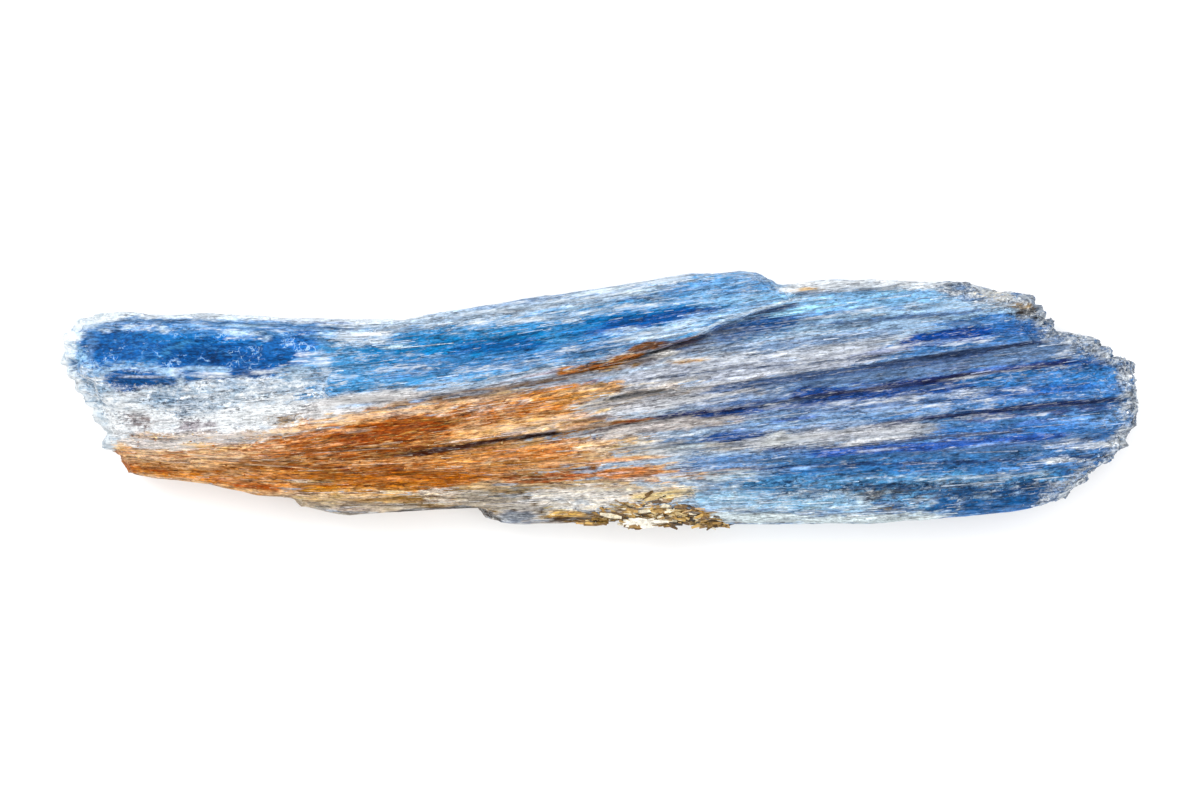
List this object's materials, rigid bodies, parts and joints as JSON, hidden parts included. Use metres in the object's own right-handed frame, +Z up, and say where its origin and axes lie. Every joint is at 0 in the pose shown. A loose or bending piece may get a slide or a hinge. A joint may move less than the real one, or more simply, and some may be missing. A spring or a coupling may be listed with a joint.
{
  "type": "kyanite blade cluster",
  "caption": "Natural cluster of long flat mineral blades grown together side by side, fanning out like shingles, with crumbling broken ends and a flat back to lie on.",
  "frame": {"origin": "middle of the stone's bounding box in plan, on the surface that its back rests on", "axes": "+X along the blades towards the fanned end, +Y across them towards the edge of the long overlying blade, +Z up out of the ribbed face"},
  "size_m": [0.1006, 0.0238, 0.0119],
  "materials": {
    "kyanite": "glassy to pearly along the blades, deep blue to icy white, with rust stains and grey crumbly ends"
  },
  "bodies": {
    "root": {"kyanite_blade_cluster": "kyanite"}
  },
  "joints": []
}
